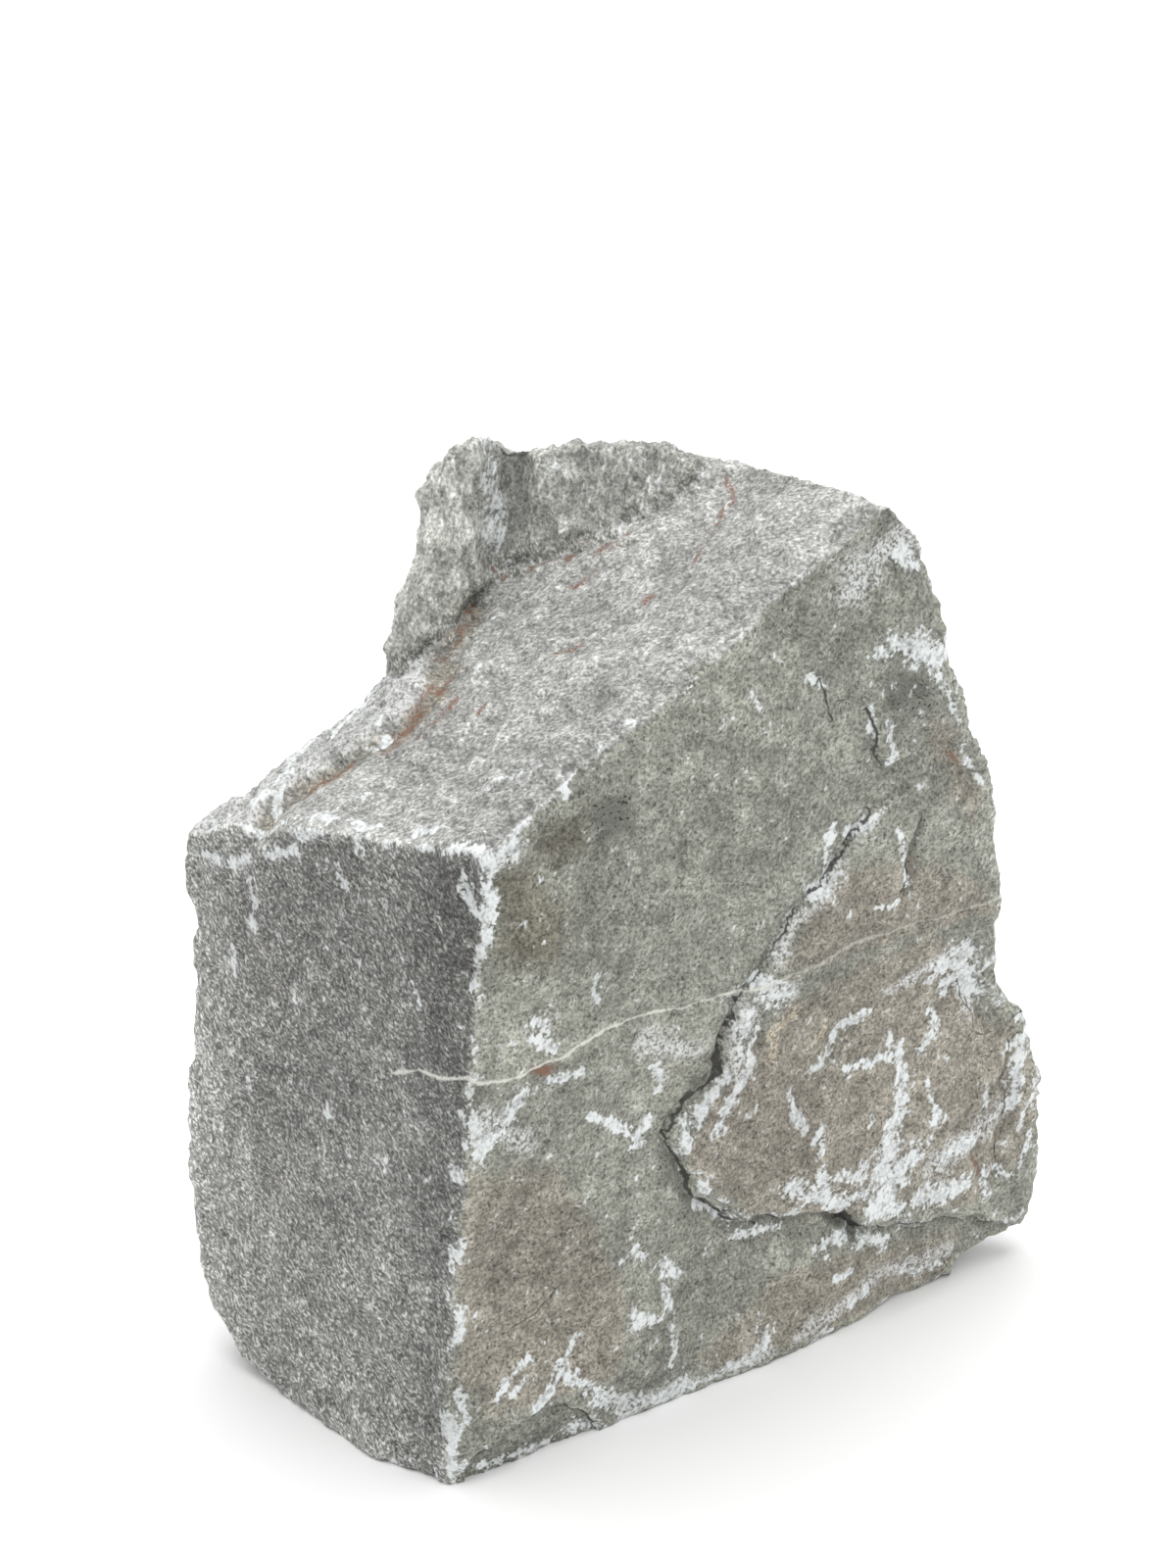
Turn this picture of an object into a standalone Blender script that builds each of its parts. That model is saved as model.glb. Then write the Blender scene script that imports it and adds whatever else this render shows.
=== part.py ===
"""A rough block of grey alabaster, split from its bed on four sides and broken at the back and far end.

Sizes are in millimetres and are turned into metres when the mesh is written. Inside the script x runs along
the broad face from the near lower corner, y runs back along the narrow face and z runs up.
"""

import bmesh
import bpy
import numpy as np
from mathutils import Vector, noise

MM = 0.001
NODE = "alabaster_block"

# Middle of the footprint, measured from the near lower corner.
CENTRE_X = 95.0
CENTRE_Y = 49.0

# The block before it is worn: broad face, narrow face, sloping top, back and far end.
BROAD_FOOT = ((-0.5, -1.5, 0), (183, -1, 0))
BROAD_HEAD = ((12, -6.4, 190), (31, -6.6, 197.5), (120, -8.0, 240), (131, -8.6, 253), (139, -8.8, 262))
BROAD_END = ((148, -8.4, 254), (154, -7.9, 239), (165, -7.0, 210), (178, -6.0, 178), (189, -4.4, 131), (189, -3.5, 100))
NARROW_FACE = ((-18, 62, 0), (-22, 78, 5.5), (-25.5, 91, 17), (-27, 97, 28), (-23, 98, 120), (-20, 96, 165))
TOP_FACE = ((8.5, 0, 191.8), (40, 94, 199), (136, 4, 263.5), (136, 58, 258), (134, 94, 251.5))
BACK_FACE = ((-4, 92, 0), (160, 86, 0), (178, 92, 22), (184, 94, 100), (172, 96, 152), (156, 97, 202))
BLOCK = BROAD_FOOT + BROAD_HEAD + BROAD_END + NARROW_FACE + TOP_FACE + BACK_FACE

# The unbroken remains of the next bed, which stand up along the back of the top.
LOW_LUMP = ((38, 78, 188), (54, 80, 197), (64, 86, 203), (43, 93, 199), (44, 94, 209), (48, 92, 219), (54, 90, 229),
            (62, 86, 224), (70, 92, 228), (45, 99, 196), (49, 102, 220), (58, 104, 236), (76, 104, 236), (70, 90, 200))
HIGH_LUMP = ((54, 90, 222), (56, 92, 239), (57.5, 92, 250), (61.5, 92, 257.5), (67, 94, 263.5), (77, 96, 264),
             (88, 96, 261), (62, 88, 226), (72, 92, 214), (82, 89, 218), (57, 104, 232), (65, 107, 254),
             (80, 108, 257), (92, 107, 254), (90, 100, 215))
LOBE_FOOT = ((84, 86, 218), (91, 75, 222), (97, 64, 227), (104, 56, 232), (111, 49, 237), (120, 49, 242), (131, 53, 249))
LOBE_HEAD = ((87, 94, 261), (94, 88, 261), (104, 80, 262), (111, 74, 262), (120, 66, 261), (127, 61, 258),
             (132, 56, 256))
LOBE_BACK = ((92, 107, 252), (110, 106, 248), (128, 102, 245), (134, 84, 248), (134, 62, 253), (128, 100, 225))
LOBE = LOBE_FOOT + LOBE_HEAD + LOBE_BACK

# The foot of the far end, which the break left standing out.
KNOB = ((186, -3, 103), (193, -1, 98), (207, -2, 83), (210, -1, 69), (211, 0, 48), (215, 1, 30), (214, 3, 16),
        (207, 2, 8), (182, 1, 5), (180, 60, 90), (196, 50, 74), (202, 46, 44), (196, 42, 26), (176, 60, 16))

# Scoops where flakes came away: middle, radii and the turn about the y axis.
SCOOPS = (
    ((203, -9, 101), (17, 12, 15), 0.5),
    ((24, -10, -4), (28, 9, 17), 0.0),
    ((155, -13, 154), (6, 9, 17), -0.35),
    ((150, -14, 209), (13, 8.5, 9), 0.6),
    ((60, 112, 60), (48, 16, 36), 0.2),
    ((140, 112, 30), (40, 13, 30), 0.0),
)

# Corners of the bed lines that show on the broad face, as x and z.
PLATE_EDGE = ((137, 172), (126, 156), (116, 150), (97, 128), (90, 118), (88, 104), (78, 96), (71, 88), (76, 79),
              (79, 68), (94, 55), (102, 51), (115, 48), (134, 43), (142, 34), (153, 32), (177, 25), (192, 18))
PLATE_FAR_SIDE = ((240, 0), (240, 200))
UPPER_FLAKE = ((134, 204), (135, 193), (143, 184), (158, 190), (160, 204))

# The hollow line along the top, as x and y, with the shoulder behind it.
TOP_HOLLOW = ((-8, 72), (5, 75), (24, 66), (43, 67), (52, 79), (68, 90))
SHOULDER_FAR_SIDE = ((68, 130), (-40, 130), (-40, 72))

PLATE_PROUD = 4.2
PLATE_PROUD_AT_TOP = 1.6
SHOULDER_RISE = 3.0
BASE_SWELL = 5.0
FLAT_SPOT_HALF = (74, 33)

VOXEL = 2.6
WEAR_STEPS = 9
TRIANGLES = 9600
SEED = 11


def hull(name, corners):
    """Return an object whose mesh wraps the corners."""
    shape = bmesh.new()
    for corner in corners:
        shape.verts.new(Vector(corner))
    wrapped = bmesh.ops.convex_hull(shape, input=list(shape.verts))
    loose = [item for item in wrapped["geom_interior"] if isinstance(item, bmesh.types.BMVert)]
    bmesh.ops.delete(shape, geom=loose, context="VERTS")
    bmesh.ops.recalc_face_normals(shape, faces=list(shape.faces))
    return as_object(name, shape)


def scoop(name, middle, radii, turn):
    """Return an egg-shaped cutter for one flake scar."""
    shape = bmesh.new()
    bmesh.ops.create_icosphere(shape, subdivisions=3, radius=1.0)
    bmesh.ops.scale(shape, vec=Vector(radii), verts=list(shape.verts))
    cutter = as_object(name, shape)
    cutter.rotation_euler = (0.0, turn, 0.0)
    cutter.location = middle
    return cutter


def as_object(name, shape):
    """Write a bmesh to a new object in the scene."""
    mesh = bpy.data.meshes.new(name)
    shape.to_mesh(mesh)
    shape.free()
    item = bpy.data.objects.new(name, mesh)
    bpy.context.collection.objects.link(item)
    return item


def bake(item):
    """Apply every modifier on the object."""
    bpy.context.view_layer.update()
    depsgraph = bpy.context.evaluated_depsgraph_get()
    result = bpy.data.meshes.new_from_object(item.evaluated_get(depsgraph))
    item.modifiers.clear()
    item.data = result


def combine(item, other, operation):
    """Join another solid to the object, or cut it away, and remove the other."""
    step = item.modifiers.new(operation.title(), "BOOLEAN")
    step.operation = operation
    step.solver = "EXACT"
    step.object = other
    bake(item)
    bpy.data.objects.remove(other)


def remesh(item, voxel):
    """Give the object an even skin of small faces."""
    step = item.modifiers.new("Even skin", "REMESH")
    step.mode = "VOXEL"
    step.voxel_size = voxel
    bake(item)


def thin_out(item, triangles):
    """Reduce the object to about the number of triangles."""
    faces = sum(len(face.vertices) - 2 for face in item.data.polygons)
    step = item.modifiers.new("Thin out", "DECIMATE")
    step.ratio = triangles / faces
    bake(item)


def read_points(mesh):
    """Return the mesh's points as rows of x, y and z."""
    points = np.empty(len(mesh.vertices) * 3)
    mesh.vertices.foreach_get("co", points)
    return points.reshape(-1, 3)


def read_normals(mesh):
    """Return the direction in which the surface faces at each point."""
    normals = np.empty(len(mesh.vertices) * 3)
    mesh.vertices.foreach_get("normal", normals)
    return normals.reshape(-1, 3)


def write_points(mesh, points):
    """Move the mesh's points."""
    mesh.vertices.foreach_set("co", points.ravel())
    mesh.update()


def rough(points, size, octaves, number, stretch=(1.0, 1.0, 1.0)):
    """Return fractal noise whose lumps are about the size, from roughly -1 to 1."""
    shift = Vector((SEED * 3.1 + number * 7.7, number * 13.3, number * 5.9))
    scaled = points / (np.array(stretch) * size)
    return np.array([noise.fractal(Vector(point) + shift, 1.0, 2.0, octaves) for point in scaled]) * 1.6


def ramp(values, start, end):
    """Return a smooth step from 0 at start to 1 at end."""
    part = np.clip((values - start) / (end - start), 0.0, 1.0)
    return part * part * (3.0 - 2.0 * part)


def steps(values, count):
    """Turn a smooth height into ledges with worn lips."""
    scaled = values * count
    floor = np.floor(scaled)
    return (floor + ramp(scaled - floor, 0.62, 0.98)) / count


def line_distance(flat_points, corners):
    """Return how far each point lies from a line of corners."""
    best = np.full(len(flat_points), 1e9)
    for start, end in zip(corners[:-1], corners[1:]):
        start = np.array(start, float)
        along = np.array(end, float) - start
        part = np.clip((flat_points - start) @ along / (along @ along), 0.0, 1.0)
        gap = np.linalg.norm(flat_points - start - part[:, None] * along, axis=1)
        best = np.minimum(best, gap)
    return best


def inside(flat_points, corners):
    """Return which points lie inside a closed outline."""
    within = np.zeros(len(flat_points), bool)
    x, y = flat_points.T
    for (x1, y1), (x2, y2) in zip(corners, corners[1:] + corners[:1]):
        if y1 == y2:
            continue
        crosses = (y1 > y) != (y2 > y)
        within ^= crosses & (x < (x2 - x1) * (y - y1) / (y2 - y1) + x1)
    return within


def broad_relief(points):
    """Return how far the broad face stands out or in."""
    x, z = points[:, 0], points[:, 2]
    wander = np.stack([rough(points, 9, 3, 1), rough(points, 9, 3, 2)], axis=1) * 1.6
    flat = points[:, [0, 2]] + wander
    edge = line_distance(flat, PLATE_EDGE)
    on_plate = inside(flat, PLATE_EDGE + PLATE_FAR_SIDE)
    lip = PLATE_PROUD + (PLATE_PROUD_AT_TOP - PLATE_PROUD) * ramp(z, 95, 135)
    plate = np.where(on_plate, ramp(edge, -0.4, 1.6) * (1.0 - 0.62 * ramp(edge, 5, 48)), 0.0)
    dip = np.where(on_plate, 0.0, -0.9 * (1.0 - ramp(edge, 0, 16)))
    flake_edge = line_distance(flat, UPPER_FLAKE)
    flake = np.where(inside(flat, UPPER_FLAKE), 1.8 * ramp(flake_edge, 0, 1.5), 0.0)
    swell = BASE_SWELL * (1.0 - ramp(z, 4, 46)) * ramp(x, -4, 14) * (1.0 - ramp(x, 120, 178))
    waves = 1.7 * rough(points, 52, 2, 3) + 0.75 * rough(points, 15, 3, 4)
    return lip * (plate + 0.0) + dip + flake + swell + waves


def narrow_relief(points):
    """Return how far the narrow face stands out or in."""
    y, z = points[:, 1], points[:, 2]
    swell = 4.0 * (1.0 - ramp(z, 2, 26)) * ramp(y, 2, 22) * (1.0 - ramp(y, 46, 70))
    return swell + 1.0 * rough(points, 34, 2, 5) + 0.5 * rough(points, 9, 3, 6)


def top_relief(points):
    """Return how far the sloping top stands out or in."""
    x, y = points[:, 0], points[:, 1]
    wander = np.stack([rough(points, 14, 2, 7), rough(points, 14, 2, 8)], axis=1) * 2.0
    flat = points[:, :2] + wander
    gap = line_distance(flat, TOP_HOLLOW)
    behind = inside(flat, TOP_HOLLOW + SHOULDER_FAR_SIDE)
    shoulder = np.where(behind, SHOULDER_RISE * ramp(gap, 0, 6) * (1.0 - ramp(gap, 7, 22)), 0.0)
    hollow = -1.6 * (1.0 - ramp(gap, 0, 9))
    near_edge = np.exp(-((x + 3) / 16) ** 2 - ((y - 46) / 26) ** 2)
    folds = rough(points, 22, 3, 9, (1.5, 0.7, 1.0))
    return shoulder + hollow + 3.6 * near_edge + 0.8 * folds + 1.1 * rough(points, 60, 2, 10)


def broken_relief(points):
    """Return the ledges and hollows of the broken back and far end."""
    beds = 0.5 + 0.5 * rough(points, 46, 3, 12, (1.0, 1.0, 1.5))
    return 9.0 * (steps(beds, 5) - 0.5) + 1.6 * rough(points, 15, 3, 13)


def ridge_relief(points):
    """Return the furrows that run up the remains of the next bed."""
    furrows = rough(points, 9, 3, 14, (0.8, 0.8, 3.0))
    return 1.5 * furrows + 1.8 * rough(points, 19, 2, 15)


def settle(item):
    """Wear the edges of the block and shape each of its faces."""
    sharp = read_points(item.data)
    step = item.modifiers.new("Wear", "SMOOTH")
    step.factor = 0.5
    step.iterations = WEAR_STEPS
    bake(item)
    soft = read_points(item.data)
    normals = read_normals(item.data)
    wear = np.clip(0.55 + 0.9 * rough(sharp, 17, 3, 20), 0.05, 1.5)
    points = sharp + (soft - sharp) * wear[:, None]

    x, y, z = sharp.T
    above_top = (z - 193) * 0.87 - (x - 9.7) * 0.486 + (y + 6.5) * 0.083
    ridge = ramp(above_top, 1.5, 5.0)
    broad = ramp(-normals[:, 1], 0.55, 0.85) * (1.0 - ridge)
    narrow = ramp(-normals[:, 0], 0.55, 0.85) * (1.0 - ridge)
    top = ramp(normals[:, 2], 0.55, 0.8) * (1.0 - ridge)
    under = ramp(-normals[:, 2], 0.6, 0.9) * (z < 2.5)
    broken = np.clip(1.0 - broad - narrow - top - under - ridge, 0.0, 1.0)
    lift = broad * broad_relief(points) + narrow * narrow_relief(points) + top * top_relief(points)
    lift += broken * broken_relief(points) + ridge * ridge_relief(points)
    points = points + normals * lift[:, None]

    reach = np.hypot((points[:, 0] - CENTRE_X + 6) / FLAT_SPOT_HALF[0], (points[:, 1] - CENTRE_Y) / FLAT_SPOT_HALF[1])
    hollow = ramp(reach + 0.25 * rough(points, 24, 2, 21), 0.95, 1.35)
    rise = hollow * (0.9 + 0.8 * rough(points, 13, 2, 22))
    points[:, 2] = np.where(under > 0.5, np.maximum(rise, 0.0), np.maximum(points[:, 2], 0.0))
    write_points(item.data, points)


def finish(item):
    """Flatten the resting spot, close the mesh and move it to the middle of its footprint."""
    shape = bmesh.new()
    shape.from_mesh(item.data)
    for vert in shape.verts:
        if vert.co.z < 0.35:
            vert.co.z = 0.0
        vert.co.x -= CENTRE_X
        vert.co.y -= CENTRE_Y
    bmesh.ops.scale(shape, vec=Vector((MM, MM, MM)), verts=list(shape.verts))
    bmesh.ops.remove_doubles(shape, verts=list(shape.verts), dist=0.00005)
    bmesh.ops.dissolve_degenerate(shape, edges=list(shape.edges), dist=0.00001)
    bmesh.ops.triangulate(shape, faces=list(shape.faces))
    bmesh.ops.recalc_face_normals(shape, faces=list(shape.faces))
    shape.to_mesh(item.data)
    shape.free()
    item.data.update()


def alabaster():
    """Return the material of the stone."""
    material = bpy.data.materials.new("Grey alabaster")
    material.use_nodes = True
    shader = material.node_tree.nodes["Principled BSDF"]
    shader.inputs["Base Color"].default_value = (0.34, 0.335, 0.30, 1.0)
    shader.inputs["Roughness"].default_value = 0.85
    shader.inputs["Metallic"].default_value = 0.0
    return material


def main():
    """Build the stone."""
    for item in list(bpy.data.objects):
        bpy.data.objects.remove(item)
    stone = hull(NODE, BLOCK)
    for number, corners in enumerate((LOW_LUMP, HIGH_LUMP, LOBE, KNOB)):
        combine(stone, hull(f"lump {number}", corners), "UNION")
    for number, (middle, radii, turn) in enumerate(SCOOPS):
        combine(stone, scoop(f"scoop {number}", middle, radii, turn), "DIFFERENCE")
    remesh(stone, VOXEL)
    settle(stone)
    thin_out(stone, TRIANGLES)
    finish(stone)
    stone.data.name = NODE
    stone.data.materials.clear()
    stone.data.materials.append(alabaster())


main()
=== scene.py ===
"""Shows the grey alabaster block as it looks in the studio.

Sizes on the stone are in millimetres. x runs along the broad face from the near lower corner, y runs
back along the narrow face and z runs up. The finished mesh is in metres, and the middle of its footprint is
at the origin.
"""

import math
from functools import reduce

import bmesh
import bpy
import numpy as np
from bpy.props import FloatProperty, FloatVectorProperty, IntProperty, PointerProperty
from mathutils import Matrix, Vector, noise


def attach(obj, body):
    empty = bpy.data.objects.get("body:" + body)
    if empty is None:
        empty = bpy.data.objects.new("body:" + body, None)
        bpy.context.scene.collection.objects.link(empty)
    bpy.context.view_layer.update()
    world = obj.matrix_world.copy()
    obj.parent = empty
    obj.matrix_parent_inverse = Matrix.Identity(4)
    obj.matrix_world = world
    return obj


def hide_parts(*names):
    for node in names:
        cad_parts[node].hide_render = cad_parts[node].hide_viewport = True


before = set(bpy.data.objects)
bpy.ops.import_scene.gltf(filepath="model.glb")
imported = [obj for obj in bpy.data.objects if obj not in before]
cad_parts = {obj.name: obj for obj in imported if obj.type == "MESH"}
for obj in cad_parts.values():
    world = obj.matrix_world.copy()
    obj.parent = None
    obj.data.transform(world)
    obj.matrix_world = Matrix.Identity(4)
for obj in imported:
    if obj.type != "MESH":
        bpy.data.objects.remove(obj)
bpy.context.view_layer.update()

bl_info = {
    "name": "Alabaster Block",
    "version": (1, 0, 0),
    "blender": (4, 5, 0),
    "location": "View3D > Sidebar > Alabaster",
    "description": "Builds a rough block of grey alabaster and the plain stage that it stands on",
    "category": "Add Mesh",
}

MM = 0.001
NODE = "alabaster_block"

# Middle of the footprint, measured from the near lower corner.
CENTRE_X = 95.0
CENTRE_Y = 49.0

# The block before it is worn: broad face, narrow face, sloping top, back and far end.
BROAD_FOOT = ((-0.5, -1.5, 0), (183, -1, 0))
BROAD_HEAD = ((12, -6.4, 190), (31, -6.6, 197.5), (120, -8.0, 240), (131, -8.6, 253), (139, -8.8, 262))
BROAD_END = (
    (148, -8.4, 254), (154, -7.9, 239), (165, -7.0, 210), (178, -6.0, 178), (189, -4.4, 131),
    (189, -3.5, 100),
)
NARROW_FACE = (
    (-18, 62, 0), (-22, 78, 5.5), (-25.5, 91, 17), (-27, 97, 28), (-23, 98, 120), (-20, 96, 165),
)
TOP_FACE = ((8.5, 0, 191.8), (40, 94, 199), (136, 4, 263.5), (136, 58, 258), (134, 94, 251.5))
BACK_FACE = ((-4, 92, 0), (160, 86, 0), (178, 92, 22), (184, 94, 100), (172, 96, 152), (156, 97, 202))
BLOCK = BROAD_FOOT + BROAD_HEAD + BROAD_END + NARROW_FACE + TOP_FACE + BACK_FACE

# The unbroken remains of the next bed, which stand up along the back of the top.
LOW_LUMP = (
    (38, 78, 188), (54, 80, 197), (64, 86, 203), (43, 93, 199), (44, 94, 209), (48, 92, 219),
    (54, 90, 229), (62, 86, 224), (70, 92, 228), (45, 99, 196), (49, 102, 220), (58, 104, 236),
    (76, 104, 236), (70, 90, 200),
)
HIGH_LUMP = (
    (54, 90, 222), (56, 92, 239), (57.5, 92, 250), (61.5, 92, 257.5), (67, 94, 263.5), (77, 96, 264),
    (88, 96, 261), (62, 88, 226), (72, 92, 214), (82, 89, 218), (57, 104, 232), (65, 107, 254),
    (80, 108, 257), (92, 107, 254), (90, 100, 215),
)
LOBE_FOOT = (
    (84, 86, 218), (91, 75, 222), (97, 64, 227), (104, 56, 232), (111, 49, 237), (120, 49, 242),
    (131, 53, 249),
)
LOBE_HEAD = (
    (87, 94, 261), (94, 88, 261), (104, 80, 262), (111, 74, 262), (120, 66, 261), (127, 61, 258),
    (132, 56, 256),
)
LOBE_BACK = (
    (92, 107, 252), (110, 106, 248), (128, 102, 245), (134, 84, 248), (134, 62, 253), (128, 100, 225),
)
LOBE = LOBE_FOOT + LOBE_HEAD + LOBE_BACK

# The foot of the far end, which the break left standing out.
KNOB = (
    (186, -3, 103), (193, -1, 98), (207, -2, 83), (210, -1, 69), (211, 0, 48), (215, 1, 30), (214, 3, 16),
    (207, 2, 8), (182, 1, 5), (180, 60, 90), (196, 50, 74), (202, 46, 44), (196, 42, 26), (176, 60, 16),
)

# Scoops where flakes came away: middle, radii and the turn about the y axis.
SCOOPS = (
    ((203, -9, 101), (17, 12, 15), 0.5),
    ((24, -10, -4), (28, 9, 17), 0.0),
    ((155, -13, 154), (6, 9, 17), -0.35),
    ((150, -14, 209), (13, 8.5, 9), 0.6),
    ((60, 112, 60), (48, 16, 36), 0.2),
    ((140, 112, 30), (40, 13, 30), 0.0),
)

# Corners of the bed lines that show on the broad face, as x and z.
PLATE_EDGE = (
    (137, 172), (126, 156), (116, 150), (97, 128), (90, 118), (88, 104), (78, 96), (71, 88), (76, 79),
    (79, 68), (94, 55), (102, 51), (115, 48), (134, 43), (142, 34), (153, 32), (177, 25), (192, 18),
)
PLATE_FAR_SIDE = ((240, 0), (240, 200))
UPPER_FLAKE = ((134, 204), (135, 193), (143, 184), (158, 190), (160, 204))

# The hollow line along the top, as x and y, with the shoulder behind it.
TOP_HOLLOW = ((-8, 72), (5, 75), (24, 66), (43, 67), (52, 79), (68, 90))
SHOULDER_FAR_SIDE = ((68, 130), (-40, 130), (-40, 72))

# The foot of the ridge, as x and y.
RIDGE_FOOT = (
    (38, 78), (54, 80), (64, 86), (84, 86), (91, 75), (97, 64), (104, 56), (111, 49), (120, 49),
    (131, 53),
)

PLATE_PROUD = 4.2
PLATE_PROUD_AT_TOP = 1.6
SHOULDER_RISE = 3.0
BASE_SWELL = 5.0
FLAT_SPOT_HALF = (74, 33)

# Where the edge of the top swells: its middle as x and y, and how far it reaches.
TOP_SWELL = (-3, 46, 16, 26)

SEED = 11
TRIANGLE_LIMIT = 199000

# How lines across a face wander: its two axes, then the size, octaves, number and reach of the noise.
ACROSS_BROAD = ([0, 2], 9, 3, 1, 1.2)
ACROSS_NARROW = ([1, 2], 6, 3, 41, 1.0)
ACROSS_TOP = ([0, 1], 14, 2, 7, 2.0)
ALONG_VEIN = ([0, 2], 5, 2, 51, 0.5)

# How squarely a place must face one way to belong to a side or to the top: from not at all to wholly.
SIDE_FACING = (0.55, 0.85)
TOP_FACING = (0.55, 0.8)

# Planes of the broad face, the narrow face and the top: a point on each and the way that it faces.
BROAD_PLANE = ((0, 0, 0), (0, -0.9994, -0.0337))
NARROW_PLANE = ((0, 0, 0), (-0.962, -0.27, 0.039))
TOP_PLANE = ((9.7, -6.5, 193), (-0.486, 0.083, 0.870))

# Hairline cracks on the broad face, each a line of x and z corners.
HAIRLINES = (
    ((116, 218), (118, 214), (120, 210), (123, 204)),
    ((125, 208), (130, 208), (134, 207)),
    ((134, 204), (136, 197), (137, 191), (141, 185), (144, 182)),
    ((20, 44), (26, 46), (31, 50), (37, 54)),
    ((156, 167), (154, 161), (153, 152), (152, 142)),
    ((176, 107), (179, 98), (183, 90), (188, 85), (195, 84), (205, 87)),
    ((185, 45), (189, 36), (196, 30), (207, 26)),
)
FOOT_SCAR = ((5, 8), (13, 11), (21, 15), (30, 16), (36, 14), (42, 9), (48, 2))
FOOT_SCAR_FAR_SIDE = ((48, -20), (5, -20))
PIT = ((133, 41), (138, 37), (141, 33))
NOTCH = ((188, 100), (189, 94))
END_FOLD = ((200, 78), (197, 67), (199, 55), (196, 44), (199, 33))

# The lines that are sunk into the broad face: the corners, the depth, and the two distances between which
# the ground comes up again. The first is the gaping stretch of the plate's edge.
SUNK_LINES = (
    (PLATE_EDGE[3:8], 0.8, 0.2, 1.2),
    (PIT, 2.6, 1.0, 4.0),
    (HAIRLINES[4], 1.6, 0.6, 3.0),
    (NOTCH, 2.4, 3.0, 8.0),
    (END_FOLD, 1.5, 0.6, 4.0),
)

# The pale vein, on the broad face as x and z and on the narrow face as y and z.
VEIN = (
    (5, 128), (15, 126), (23, 125), (35, 127), (45, 129), (57, 130), (77, 128), (97, 128), (110, 130),
    (128, 132), (145, 133), (167, 132), (188, 132),
)
NARROW_VEIN = ((22, 120), (11, 125), (3, 126), (-6, 129))

# Patches of other colours on the broad face, some of the dark ones painted shadow, each an outline of x and
# z.
BROWN_PATCHES = (
    ((74, 82), (88, 100), (97, 112), (112, 121), (134, 124), (163, 126), (178, 116), (182, 98), (200, 84),
     (214, 60), (208, 34), (185, 28), (153, 36), (101, 52)),
    ((116, 147), (133, 157), (154, 155), (181, 138), (186, 127), (145, 129), (117, 129), (107, 131)),
    ((5, 99), (33, 95), (46, 69), (60, 37), (54, 16), (34, 17), (11, 20), (2, 36)),
    ((82, 11), (116, 29), (154, 26), (188, 14), (181, 2), (137, 2), (89, 5)),
    ((158, 198), (167, 189), (173, 176), (180, 160), (174, 159), (165, 175), (156, 190)),
)
OLIVE_PATCHES = (
    ((13, 186), (25, 186), (36, 169), (32, 153), (17, 159)),
    ((26, 193), (41, 197), (44, 187), (31, 183)),
)
# Dark patches: the first two are darker stone; the third is painted shadow in the recess along a sunk
# hairline, the fourth painted shade in the pit, and the last two painted shade on the plate's side and
# beneath its lower edge.
DARK_AND_SHADOW_PATCHES = (
    ((43, 198), (57, 200), (60, 186), (45, 185)),
    ((141, 214), (150, 211), (158, 208), (156, 199), (147, 198), (141, 204)),
    ((152, 168), (158, 166), (157, 152), (154, 140), (150, 143), (151, 155)),
    ((131, 45), (139, 41), (144, 33), (138, 30), (132, 37)),
    ((68, 92), (72, 84), (78, 70), (86, 60), (80, 60), (72, 72), (66, 86)),
    ((96, 52), (108, 48), (124, 46), (124, 42), (108, 43), (96, 46)),
)
PALE_PATCHES = (
    ((11, 157), (32, 155), (45, 131), (26, 125), (11, 130)),
    ((64, 125), (87, 120), (86, 103), (75, 97), (61, 108)),
)

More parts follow.
